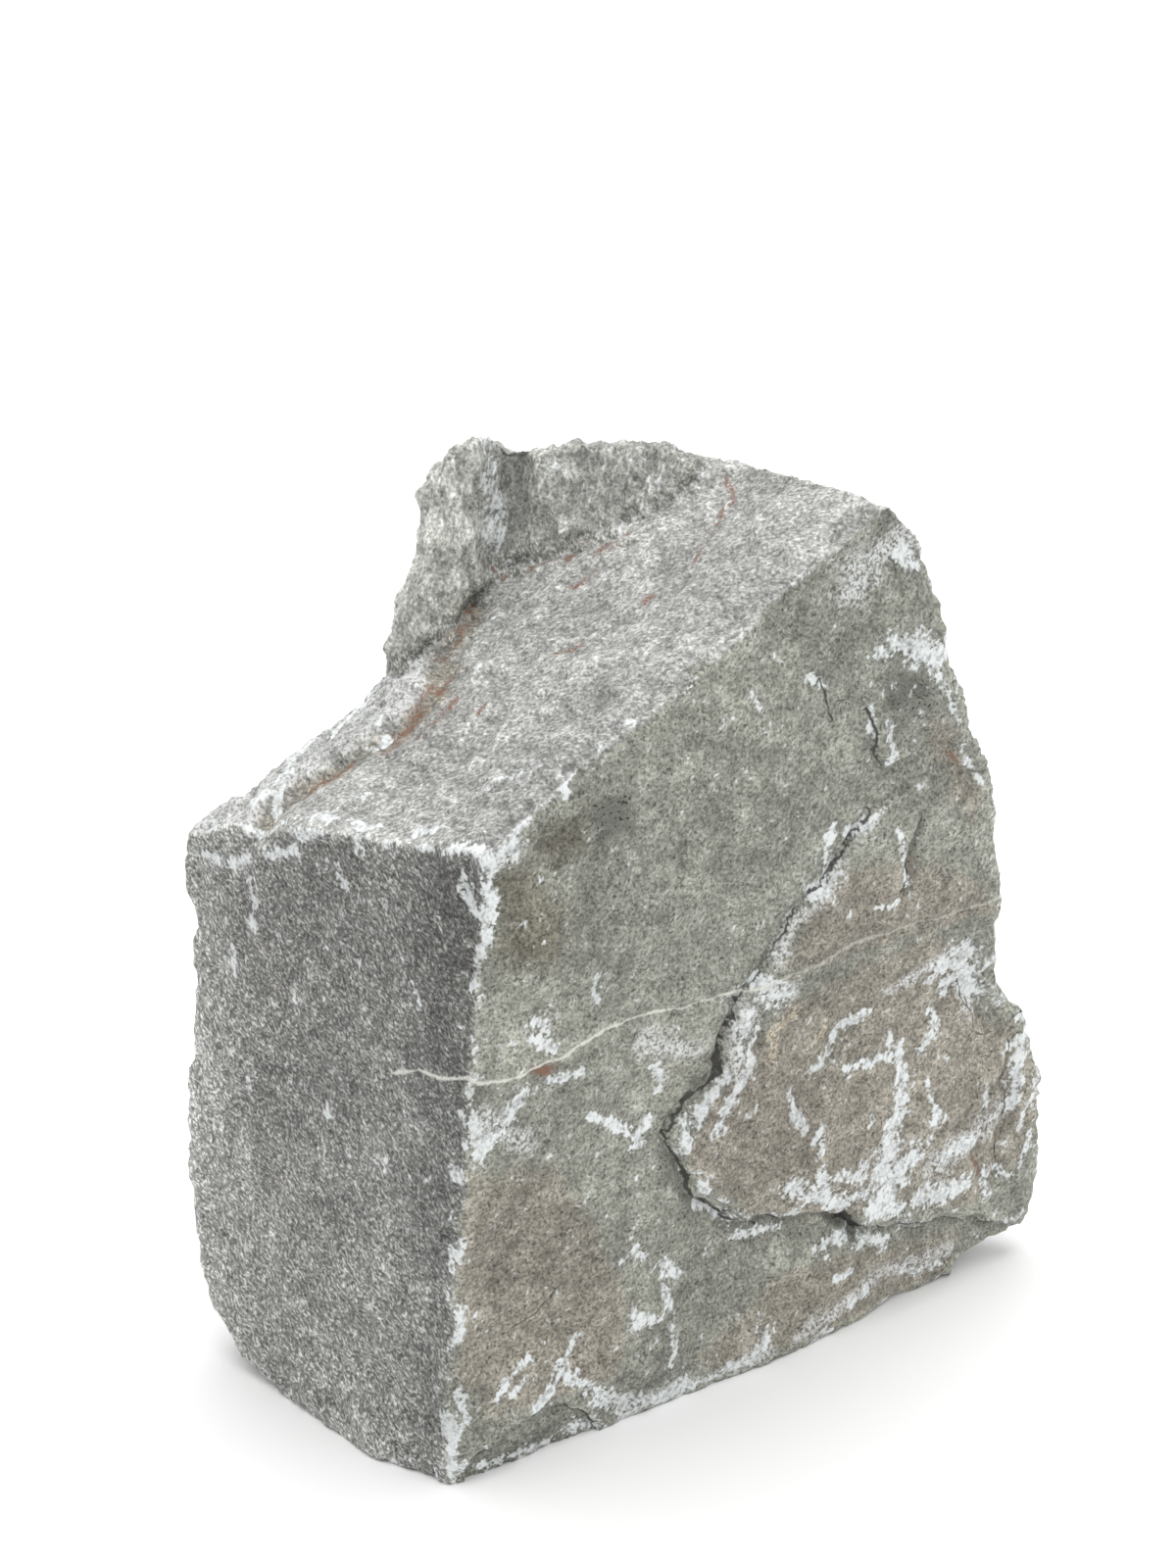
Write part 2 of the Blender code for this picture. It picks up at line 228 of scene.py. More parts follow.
# White bruises: two ends and a half width. On the broad face the ends are x and z.
BROAD_BRUISES = (
    (11, 190, 18, 193, 3.8), (13, 188, 11, 168, 2.5), (11, 168, 7, 155, 1.7), (7, 128, 7, 109, 1.6),
    (4, 118, 1, 100, 1.6), (0, 77, 0, 66, 1.4), (0, 24, 1, 4, 1.6), (46, 148, 46, 143, 1.4),
    (26, 140, 31, 136, 1.6), (25, 136, 32, 130, 1.9), (44, 146, 48, 139, 0.8), (8, 104, 20, 115, 2.4),
    (14, 111, 26, 119, 1.9), (32, 120, 42, 120, 1.1), (100, 130, 106, 124, 3.5), (90, 103, 80, 92, 1.7),
    (98, 104, 90, 93, 1.3), (78, 89, 75, 84, 2.1), (93, 97, 87, 88, 1.6), (123, 153, 119, 152, 2.2),
    (124, 160, 126, 170, 1.6), (122, 94, 134, 105, 1.6), (134, 105, 143, 106, 1.4),
    (134, 90, 143, 91, 1.4), (143, 89, 152, 89, 1.4), (151, 98, 150, 89, 1.1), (154, 91, 158, 80, 1.6),
    (162, 86, 167, 91, 1.1), (157, 80, 154, 70, 2.2), (154, 70, 150, 57, 3.5), (150, 57, 148, 44, 5.4),
    (154, 47, 161, 55, 3.2), (166, 77, 166, 70, 0.8), (166, 70, 172, 61, 1.1), (166, 55, 169, 66, 1.4),
    (174, 49, 186, 51, 2.2), (162, 38, 181, 37, 3.0), (145, 41, 154, 39, 3.2), (201, 56, 203, 74, 2.4),
    (188, 69, 190, 61, 1.1), (190, 38, 193, 28, 1.4), (114, 59, 126, 52, 3.5), (124, 61, 126, 55, 1.9),
    (131, 57, 137, 55, 2.2), (130, 48, 140, 48, 2.7), (139, 59, 140, 52, 1.6), (112, 89, 118, 76, 1.4),
    (122, 72, 125, 76, 1.1), (124, 67, 125, 71, 0.8), (143, 73, 143, 71, 1.1), (174, 116, 182, 104, 3.6),
    (168, 113, 178, 115, 3.0), (170, 104, 172, 108, 1.9), (166, 100, 169, 93, 1.1),
    (192, 107, 202, 96, 1.8), (143, 248, 148, 242, 2.2), (142, 222, 158, 215, 3.0),
    (147, 216, 160, 212, 2.2), (138, 219, 142, 220, 1.6), (140, 199, 144, 186, 1.4),
    (135, 203, 135, 196, 1.1), (160, 208, 167, 191, 1.1), (171, 184, 176, 171, 1.1),
    (147, 164, 153, 146, 1.1), (132, 167, 136, 169, 1.6), (53, 99, 64, 90, 1.4), (45, 105, 58, 96, 1.4),
    (67, 113, 71, 104, 1.4), (59, 89, 65, 96, 1.6), (60, 56, 64, 52, 1.4), (55, 54, 60, 55, 1.1),
    (71, 46, 76, 41, 2.2), (60, 35, 69, 30, 1.4), (59, 31, 67, 29, 1.1), (73, 28, 74, 7, 0.8),
    (71, 40, 74, 32, 1.1), (13, 24, 25, 33, 1.2), (26, 16, 31, 20, 1.6), (31, 20, 41, 34, 1.3),
    (36, 26, 49, 12, 1.7), (48, 11, 62, 5, 2.2), (18, 24, 24, 27, 0.9), (58, 4, 82, 3, 1.9),
    (68, 3, 78, 6, 1.6), (89, 3, 98, 5, 1.6), (98, 45, 114, 44, 1.4), (126, 31, 132, 34, 1.4),
    (131, 33, 138, 32, 1.4), (144, 29, 152, 26, 2.2), (134, 19, 140, 21, 1.6), (163, 10, 176, 7, 1.6),
    (140, 8, 147, 11, 1.4), (101, 5, 108, 10, 1.6), (105, 13, 106, 19, 1.1), (124, 0, 131, 3, 1.4),
    (10, 3, 34, 1, 1.4), (39, 3, 48, 3, 1.6), (5, 29, 5, 22, 1.1), (112, 219, 118, 214, 1.1),
    (94, 216, 97, 211, 0.8), (70, 221, 75, 223, 0.8), (84, 62, 92, 56, 1.2), (92, 56, 104, 51, 0.9),
    (104, 51, 118, 49, 0.8), (146, 33, 166, 29, 0.8), (97, 122, 95, 108, 1.0), (101, 118, 97, 104, 0.8),
    (204, 46, 209, 58, 1.1), (196, 36, 204, 31, 1.4), (207, 34, 209, 44, 1.1), (196, 76, 207, 80, 0.9),
    (140, 142, 150, 141, 0.8), (175, 109, 182, 101, 2.8), (183, 104, 188, 98, 2.2),
)

# Softer white, as dust on the surface.
BROAD_DUST = (
    (127, 244, 143, 251, 5.0), (126, 237, 134, 243, 3.5), (170, 48, 194, 54, 6.0),
    (178, 112, 182, 96, 4.0), (118, 148, 127, 158, 3.0), (101, 127, 112, 124, 3.0),
    (150, 60, 147, 42, 5.0), (150, 112, 178, 118, 2.5), (64, 122, 82, 112, 3.5), (24, 104, 10, 116, 3.5),
    (96, 122, 93, 104, 4.5), (60, 3, 110, 4, 3.0), (115, 146, 107, 136, 2.5), (150, 14, 182, 10, 3.5),
    (120, 6, 150, 12, 3.0),
)

# On the narrow face the ends are y and z.
NARROW_BRUISES = (
    (81, 138, 78, 128, 1.1), (73, 160, 71, 156, 1.6), (71, 156, 72, 148, 1.4), (42, 174, 40, 169, 1.4),
    (34, 151, 33, 147, 0.8), (92, 162, 84, 162, 1.9), (81, 162, 75, 167, 1.6), (67, 170, 57, 174, 1.4),
    (57, 178, 46, 183, 1.6), (37, 185, 29, 188, 1.1), (13, 151, 11, 143, 0.8), (25, 94, 23, 90, 0.8),
    (57, 133, 56, 129, 0.8), (76, 98, 75, 94, 0.8), (46, 100, 45, 98, 0.8), (-1, 184, -4, 176, 1.6),
    (-6, 163, -4, 154, 1.4),
)

# On the top the ends are x and y.
TOP_BRUISES = (
    (-4, 73, 10, 90, 1.6), (10, 90, 17, 91, 1.4), (22, 88, 35, 93, 1.6), (28, 67, 21, 68, 1.1),
    (41, 92, 37, 93, 1.4), (-15, 77, -7, 65, 1.6), (-3, 55, -1, 47, 1.6), (2, 43, 4, 34, 1.1),
    (7, 21, 10, 16, 1.4), (9, 1, 14, -8, 2.7), (-17, 90, -10, 89, 1.6), (57, -4, 62, -8, 1.1),
    (27, 14, 32, 8, 0.8), (48, -8, 54, -7, 1.1),
)

# Rust-coloured stains, in the same terms as the bruises.
TOP_RUST = (
    (-1, 71, 9, 72, 1.1), (9, 72, 17, 69, 1.1), (22, 62, 28, 62, 1.4), (29, 66, 37, 66, 1.6),
    (37, 69, 44, 72, 1.6), (32, 57, 43, 59, 1.4), (45, 68, 51, 72, 1.1), (54, 81, 62, 86, 1.6),
    (66, 92, 73, 93, 2.4), (75, 92, 80, 91, 0.8), (83, 85, 87, 78, 1.1), (89, 74, 93, 72, 1.1),
    (85, 60, 88, 60, 1.1), (93, 65, 98, 61, 1.4), (97, 62, 103, 60, 0.8), (43, 47, 47, 47, 0.8),
    (67, 43, 70, 38, 0.8), (89, 33, 91, 33, 1.1), (128, 52, 125, 44, 0.7), (123, 45, 118, 40, 0.8),
    (116, 39, 110, 35, 0.8), (107, 33, 102, 30, 0.5), (79, 28, 82, 30, 0.5),
)
NARROW_RUST = ((40, 62, 38, 54, 0.5),)
BROAD_RUST = ((27, 125, 31, 123, 2.4), (184, 47, 188, 37, 1.1), (165, 186, 168, 180, 0.8))

# Yellowish spots, in the same terms.
BROAD_OCHRE = ((104, 113, 113, 116, 2.2), (122, 104, 126, 108, 1.6), (107, 110, 104, 104, 1.6))

# How wide the cracks gape, and along the plate's lower edge the painted shadow beneath its lip: two ends as
# x and z, and the width added near them.
GAPES_AND_SHADOWS = (
    (91, 119, 88, 104, 0.50), (88, 104, 72, 89, 0.15), (71, 87, 76, 78, 0.25), (77, 76, 84, 64, 0.30),
    (84, 64, 100, 52, 0.20), (100, 52, 128, 45, 0.15), (134, 42, 142, 34, 0.90), (142, 33, 155, 31, 0.25),
    (155, 31, 188, 20, 0.15), (118, 214, 123, 205, 0.20), (135, 203, 137, 192, 0.25),
    (5, 8, 21, 15, 0.15), (21, 15, 46, 4, 0.20),
)

# Where the broad face darkens: a middle in x and z, and how far it reaches.
FOOT_SHADE = (24, 2, 22, 11)
CORNER_SHADE = (138, 245, 30, 30)

# The white band that climbs the ridge: its middle and its half width along x.
RIDGE_BAND = (79, 4.5)

# Colours of the patches, the dust and the cracks. The crack colour is partly the cracks' own dark fill and
# partly painted shade in them and beneath the plate's lip.
OLIVE = (0.13, 0.118, 0.085)
PALE = (0.36, 0.36, 0.31)
OCHRE = (0.42, 0.375, 0.285)
DUST = (0.62, 0.63, 0.63)
CRACK = (0.03, 0.028, 0.025)


def colour(name, description, default):
    """Return a colour setting."""
    return FloatVectorProperty(name=name, description=description, default=default, subtype="COLOR",
                               size=3, min=0.0, max=1.0)


class StoneSettings(bpy.types.PropertyGroup):
    """Sizes and colours of the stone."""

    skin: FloatProperty(
        name="Skin", description="Size of the mesh's faces before they are thinned out",
        default=0.0012, min=0.0005, unit="LENGTH")
    triangles: IntProperty(
        name="Triangles", description="Number of triangles in the finished mesh",
        default=188000, min=1000)
    grain: FloatProperty(
        name="Grain", description="Width of the grains that stand out of the surface",
        default=0.0024, min=0.0002, unit="LENGTH")
    grain_height: FloatProperty(
        name="Grain height", description="Height of the grains", default=0.00026, min=0.0, unit="LENGTH")
    green_grey: colour("Bed surface", "Colour of the broad bed surface", (0.250, 0.254, 0.218))
    neutral_grey: colour("Split stone", "Colour of the freshly split stone", (0.170, 0.170, 0.161))
    # The top's grey is lighter than the sides' partly as painted light, for the light that falls on it from
    # above.
    lit_top_grey: colour("Top", "Colour of the split top", (0.300, 0.302, 0.288))
    ridge_grey: colour("Ridge", "Colour of the furrowed stone above the top", (0.270, 0.272, 0.252))
    brown: colour("Warm patches", "Colour of the iron-tinted patches", (0.262, 0.243, 0.203))
    bruise: colour("Bruises", "Colour of the crushed white stone", (0.72, 0.75, 0.75))
    vein: colour("Vein", "Colour of the pale vein", (0.64, 0.64, 0.58))
    rust: colour("Rust", "Colour of the iron stains", (0.180, 0.085, 0.050))


class StageSettings(bpy.types.PropertyGroup):
    """Camera, floor and lights."""

    camera_place: FloatVectorProperty(
        name="Camera", description="Place of the camera",
        default=(-0.4351, -0.6250, 0.5096), subtype="TRANSLATION", size=3)
    camera_turn: FloatProperty(
        name="Camera turn", description="Turn about the upright axis",
        default=math.radians(-33.95), unit="ROTATION")
    camera_dip: FloatProperty(
        name="Camera dip", description="How far the camera looks down",
        default=math.radians(24.0), unit="ROTATION")
    lens: FloatProperty(
        name="Lens", description="Focal length in millimetres", default=67.5, min=10.0)
    floor_size: FloatProperty(
        name="Floor", description="Width of the floor", default=14.0, unit="LENGTH")
    sky: FloatProperty(
        name="Room light", description="Strength of the light from all round", default=0.85, min=0.0)
    key: FloatProperty(
        name="Overhead light", description="Power of the large light above", default=85.0, min=0.0)
    fill: FloatProperty(
        name="Front light", description="Power of the light from the front right", default=5.0, min=0.0)


def as_object(name, shape):
    """Write a bmesh to a new object in the scene."""
    mesh = bpy.data.meshes.new(name)
    shape.to_mesh(mesh)
    shape.free()
    item = bpy.data.objects.new(name, mesh)
    bpy.context.scene.collection.objects.link(item)
    return item


def hull(name, corners):
    """Return an object whose mesh wraps the corners."""
    shape = bmesh.new()
    for corner in corners:
        shape.verts.new(Vector(corner))
    wrapped = bmesh.ops.convex_hull(shape, input=shape.verts[:])
    loose = [item for item in wrapped["geom_interior"] if isinstance(item, bmesh.types.BMVert)]
    bmesh.ops.delete(shape, geom=loose, context="VERTS")
    bmesh.ops.recalc_face_normals(shape, faces=shape.faces[:])
    return as_object(name, shape)


def scoop(name, middle, radii, turn):
    """Return an egg-shaped cutter for one flake scar."""
    shape = bmesh.new()
    bmesh.ops.create_icosphere(shape, subdivisions=4, radius=1.0)
    bmesh.ops.scale(shape, vec=Vector(radii), verts=shape.verts[:])
    cutter = as_object(name, shape)
    cutter.rotation_euler = (0.0, turn, 0.0)
    cutter.location = middle
    return cutter


def bake(item):
    """Apply every modifier on the object."""
    bpy.context.view_layer.update()
    depsgraph = bpy.context.evaluated_depsgraph_get()
    result = bpy.data.meshes.new_from_object(item.evaluated_get(depsgraph))
    item.modifiers.clear()
    item.data = result


def combine(item, other, operation):
    """Join another solid to the object, or cut it away, and remove the other."""
    step = item.modifiers.new(operation.title(), "BOOLEAN")
    step.operation = operation
    step.solver = "EXACT"
    step.object = other
    bake(item)
    bpy.data.objects.remove(other)


def read_rows(mesh, kind):
    """Return the mesh's points ("co") or directions ("normal") as rows of x, y and z."""
    rows = np.empty(len(mesh.vertices) * 3)
    mesh.vertices.foreach_get(kind, rows)
    return rows.reshape(-1, 3)


def rough(points, size, octaves, number, stretch=(1.0, 1.0, 1.0)):
    """Return fractal noise whose lumps are about the size, from roughly -1 to 1."""
    shift = Vector((SEED * 3.1 + number * 7.7, number * 13.3, number * 5.9))
    scaled = points / (np.array(stretch) * size)
    return np.array([noise.fractal(Vector(point) + shift, 1.0, 2.0, octaves) for point in scaled]) * 1.6


def ramp(values, start, end):
    """Return a smooth step from 0 at start to 1 at end, which may be the smaller of the two."""
    part = np.clip((values - start) / (end - start), 0.0, 1.0)
    return part * part * (3.0 - 2.0 * part)


def steps(values, count):
    """Turn a smooth height into ledges with worn lips."""
    scaled = values * count
    floor = np.floor(scaled)
    return (floor + ramp(scaled - floor, 0.62, 0.98)) / count


def line_distance(flat_points, corners):
    """Return how far each point lies from a line of corners, and on which side of it."""
    best = np.full(len(flat_points), 1e9)
    side = np.ones(len(flat_points))
    last = len(corners) - 2
    for number, (start, end) in enumerate(zip(corners[:-1], corners[1:])):
        start = np.array(start, float)
        along = np.array(end, float) - start
        offset = flat_points - start
        reach = offset @ along / (along @ along)
        gap = np.linalg.norm(offset - np.clip(reach, 0.0, 1.0)[:, None] * along, axis=1)
        turn = np.sign(along[0] * offset[:, 1] - along[1] * offset[:, 0])
        past_end = ((reach < 0.0) & (number == 0)) | ((reach > 1.0) & (number == last))
        turn = np.where(past_end, 1.0, turn)
        side = np.where(gap < best, turn, side)
        best = np.minimum(best, gap)
    return best, side


def inside(flat_points, corners):
    """Return which points lie inside a closed outline."""
    within = np.zeros(len(flat_points), bool)
    x, y = flat_points.T
    for (x1, y1), (x2, y2) in zip(corners, corners[1:] + corners[:1]):
        if y1 == y2:
            continue
        crosses = (y1 > y) != (y2 > y)
        within ^= crosses & (x < (x2 - x1) * (y - y1) / (y2 - y1) + x1)
    return within


def close_to(flat_points, corners, start, end):
    """Return 1 up to the first distance from a line of corners, and 0 from the second one on."""
    return 1.0 - ramp(line_distance(flat_points, corners)[0], start, end)


def hill(first, second, place):
    """Return 1 in the middle of a round place, falling off at its reach along each of the two axes."""
    middle_1, middle_2, reach_1, reach_2 = place
    return np.exp(-((first - middle_1) / reach_1) ** 2 - ((second - middle_2) / reach_2) ** 2)


def wandering(points, axes, size, octaves, number, reach):
    """Return two coordinates of each point, shifted a little so that lines across them wander."""
    shifts = [rough(points, size, octaves, number), rough(points, size, octaves, number + 1)]
    return points[:, axes] + np.stack(shifts, axis=1) * reach


def flake_step(flat_points, edge, far_side, height, lip):
    """Return the height of a flake or a scar that starts at an edge line, with a lip of the width."""
    within = inside(flat_points, edge + far_side)
    return np.where(within, height * ramp(line_distance(flat_points, edge)[0], 0, lip), 0.0)


def broad_relief(points):
    """Return how far the broad face stands out or in."""
    x, z = points[:, 0], points[:, 2]
    flat = wandering(points, *ACROSS_BROAD)
    edge = line_distance(flat, PLATE_EDGE)[0]
    on_plate = inside(flat, PLATE_EDGE + PLATE_FAR_SIDE)
    lip = PLATE_PROUD + (PLATE_PROUD_AT_TOP - PLATE_PROUD) * ramp(z, 84, 112)
    lamina = 0.6 * ramp(edge, -0.3, 0.9) + 0.4 * ramp(edge, 1.8, 2.9)
    plate = np.where(on_plate, lamina * (1.0 - 0.62 * ramp(edge, 5, 48)), 0.0)
    dip = np.where(on_plate, 0.0, -0.9 * (1.0 - ramp(edge, 0, 16)) - 0.9 * (1.0 - ramp(edge, 0, 2.5)))
    flake = flake_step(flat, UPPER_FLAKE, (), 1.8, 1.5)
    scar = flake_step(flat, FOOT_SCAR, FOOT_SCAR_FAR_SIDE, -1.8, 1.6)
    swell = BASE_SWELL * (1.0 - ramp(z, 4, 46)) * ramp(x, -4, 14) * (1.0 - ramp(x, 120, 178))
    waves = 1.7 * rough(points, 52, 2, 3) + 0.75 * rough(points, 15, 3, 4)
    chips = -0.7 * ramp(rough(points, 5, 3, 31), 0.45, 1.0)
    flakes = 1.3 * (steps(0.5 + 0.5 * rough(points, 27, 4, 57, (1.5, 1.0, 0.8)), 4) - 0.5)
    sunk = sum(-depth * close_to(flat, corners, start, end) for corners, depth, start, end in SUNK_LINES)
    return lip * plate + dip + flake + scar + swell + waves + chips + flakes + sunk


def narrow_relief(points):
    """Return how far the narrow face stands out or in."""
    y, z = points[:, 1], points[:, 2]
    swell = 4.0 * (1.0 - ramp(z, 2, 26)) * ramp(y, 2, 22) * (1.0 - ramp(y, 46, 70))
    fine = 0.35 * rough(points, 3.5, 2, 32)
    return swell + 1.0 * rough(points, 34, 2, 5) + 0.5 * rough(points, 9, 3, 6) + fine


def top_relief(points):
    """Return how far the sloping top stands out or in."""
    x, y = points[:, 0], points[:, 1]
    flat = wandering(points, *ACROSS_TOP)
    gap = line_distance(flat, TOP_HOLLOW)[0]
    behind = inside(flat, TOP_HOLLOW + SHOULDER_FAR_SIDE)
    shoulder = np.where(behind, SHOULDER_RISE * ramp(gap, 0, 6) * (1.0 - ramp(gap, 7, 22)), 0.0)
    hollow = -1.2 * (1.0 - ramp(gap, 0, 9))
    swell = 3.6 * hill(x, y, TOP_SWELL)
    folds = rough(points, 22, 3, 9, (1.5, 0.7, 1.0))
    scallops = 0.9 * (0.4 - np.abs(rough(points, 8, 4, 33, (0.8, 1.5, 1.0))))
    flakes = 2.2 * (steps(0.5 + 0.5 * rough(points, 20, 4, 55), 4) - 0.5)
    waves = 1.1 * rough(points, 60, 2, 10)
    return shoulder + hollow + swell + 0.8 * folds + waves + scallops + flakes


def broken_relief(points):
    """Return the ledges and hollows of the broken back and far end."""
    beds = 0.5 + 0.5 * rough(points, 46, 3, 12, (1.0, 1.0, 1.5))
    scallops = 2.2 * (0.4 - np.abs(rough(points, 26, 5, 34))) * ramp(rough(points, 42, 2, 56), -0.6, 0.7)
    return 9.0 * (steps(beds, 5) - 0.5) + 1.5 * rough(points, 30, 5, 13) + scallops


def ridge_relief(points):
    """Return the furrows that run up the remains of the next bed."""
    furrows = rough(points, 9, 3, 14, (0.8, 0.8, 3.0))
    scallops = 1.5 * (0.4 - np.abs(rough(points, 6.5, 4, 35, (0.7, 0.7, 2.0))))
    return 1.3 * furrows + 2.2 * rough(points, 19, 2, 15) + scallops


def plane_gap(points, plane):
    """Return how far each point stands out of a plane."""
    middle, facing = plane
    return (points - np.array(middle, float)) @ np.array(facing, float)


def settle(item, voxel):
    """Wear the edges of the block, shape each of its faces and return how much each point shows."""
    sharp = read_rows(item.data, "co")
    step = item.modifiers.new("Wear", "SMOOTH")
    step.factor = 0.5
    step.iterations = round(9 * (2.6 / voxel) ** 2)
    bake(item)
    soft = read_rows(item.data, "co")
    normals = read_rows(item.data, "normal")
    wear = np.clip(0.30 + 0.7 * rough(sharp, 17, 5, 20) + 0.35 * rough(sharp, 5, 3, 36), 0.0, 1.5)
    z = sharp[:, 2]
    wear = np.maximum(wear, 1.5 * close_to(sharp[:, :2], RIDGE_FOOT, 3, 11) * (z > 185))
    points = sharp + (soft - sharp) * wear[:, None]

    ridge = ramp(plane_gap(sharp, TOP_PLANE), 1.5, 5.0)
    broad = ramp(-normals[:, 1], *SIDE_FACING) * (1.0 - ridge)
    narrow = ramp(-normals[:, 0], *SIDE_FACING) * (1.0 - ridge)
    top = ramp(normals[:, 2], *TOP_FACING) * (1.0 - ridge)
    under = ramp(-normals[:, 2], 0.6, 0.9) * (z < 2.5)
    broken = np.clip(1.0 - broad - narrow - top - under - ridge, 0.0, 1.0)
    lift = broad * broad_relief(points) + narrow * narrow_relief(points) + top * top_relief(points)
    lift += broken * ramp(z, -2, 9) * broken_relief(points) + ridge * ridge_relief(points)
    points = points + normals * lift[:, None]

    across, along = FLAT_SPOT_HALF
    reach = np.hypot((points[:, 0] - CENTRE_X + 6) / across, (points[:, 1] - CENTRE_Y) / along)
    hollow = ramp(reach + 0.25 * rough(points, 24, 2, 21), 0.95, 1.35)
    rise = hollow * (0.9 + 0.8 * rough(points, 13, 2, 22))
    points[:, 2] = np.where(under > 0.5, np.maximum(rise, 0.0), np.maximum(points[:, 2], 0.0))
    item.data.vertices.foreach_set("co", points.ravel())
    item.data.update()
    return np.clip(broad + narrow + top + ridge, 0.0, 1.0)


def thin_out(item, shown, triangles):
    """Reduce the mesh to about the number of triangles, most of all on the hidden sides."""
    group = item.vertex_groups.new(name="hidden")
    for level in range(1, 5):
        chosen = np.nonzero(np.round((1.0 - shown) * 3.0 + 1.0) == level)[0]
        group.add([int(number) for number in chosen], level / 4.0, "REPLACE")
    faces = sum(len(face.vertices) - 2 for face in item.data.polygons)
    step = item.modifiers.new("Thin out", "DECIMATE")
    step.ratio = triangles / faces
    step.vertex_group = group.name
    step.vertex_group_factor = 0.6
    bake(item)
    item.vertex_groups.clear()


def drop_crumbs(shape):
    """Delete every part of the mesh that isn't joined to its largest part."""
    left = set(shape.verts)
    parts = []
    while left:
        part = [left.pop()]
        for corner in part:
            for edge in corner.link_edges:
                other = edge.other_vert(corner)
                if other in left:
                    left.discard(other)
                    part.append(other)
        parts.append(part)
    parts.sort(key=len)
    for part in parts[:-1]:
        bmesh.ops.delete(shape, geom=part, context="VERTS")


def to_row_frame(item):
    """Close the mesh, turn it into metres and move it to the middle of its footprint."""
    shape = bmesh.new()
    shape.from_mesh(item.data)
    bmesh.ops.translate(shape, vec=Vector((-CENTRE_X, -CENTRE_Y, 0.0)), verts=shape.verts[:])
    bmesh.ops.scale(shape, vec=Vector((MM, MM, MM)), verts=shape.verts[:])
    bmesh.ops.remove_doubles(shape, verts=shape.verts[:], dist=0.00002)
    bmesh.ops.dissolve_degenerate(shape, edges=shape.edges[:], dist=0.000005)
    drop_crumbs(shape)
    bmesh.ops.triangulate(shape, faces=shape.faces[:])
    if shape.calc_volume(signed=True) < 0.0:
        bmesh.ops.reverse_faces(shape, faces=shape.faces[:])
    for corner in shape.verts:
        corner.co.z = max(corner.co.z, 0.0)
    for face in shape.faces:
        face.smooth = True
    shape.to_mesh(item.data)
    shape.free()
    item.data.update()


def stroke_field(flat_points, strokes, widen=1.0):
    """Return 1 along the middle of each stroke, a half at its half width and 0 at twice that."""
    field = np.zeros(len(flat_points))
    for x1, y1, x2, y2, half in strokes:
        gap = line_distance(flat_points, ((x1, y1), (x2 + 0.01, y2)))[0]
        field = np.maximum(field, 1.0 - 0.5 * gap / max(half * widen, 0.5))
    return np.clip(field, 0.0, 1.0)


def patch_field(flat_points, patches, soft):
    """Return 1 inside each outline and 0 outside, with soft edges."""
    field = np.zeros(len(flat_points))
    for corners in patches:
        gap = line_distance(flat_points, corners + corners[:1])[0]
        signed = np.where(inside(flat_points, corners), gap, -gap)
        field = np.maximum(field, ramp(signed, -soft, soft))
    return field


def line_field(flat_points, lines):
    """Return the signed distance to the nearest line and a mask that is 1 close to it."""
    nearest = np.full(len(flat_points), 9.0)
    signed = np.full(len(flat_points), 9.0)
    for corners in lines:
        gap, side = line_distance(flat_points, corners)
        closer = gap < nearest
        signed = np.where(closer, gap * side, signed)
        nearest = np.minimum(nearest, gap)
    return signed, 1.0 - ramp(nearest, 1.6, 3.0)


def stands_out(mesh, points, normals):
    """Return up to 1 on crests, 0 on even ground and down to -0.6 in crevices."""
    pairs = np.empty(len(mesh.edges) * 2, dtype=np.int64)
    mesh.edges.foreach_get("vertices", pairs)
    first, second = pairs.reshape(-1, 2).T
    count = np.bincount(pairs, minlength=len(points))
    soft = points.copy()
    for _ in range(6):
        for axis in range(3):
            total = np.bincount(first, soft[second, axis], len(points))
            total += np.bincount(second, soft[first, axis], len(points))
            soft[:, axis] = total / np.maximum(count, 1)
    gap = ((points - soft) * normals).sum(axis=1)
    return np.clip(gap / 0.55, -0.6, 1.0)


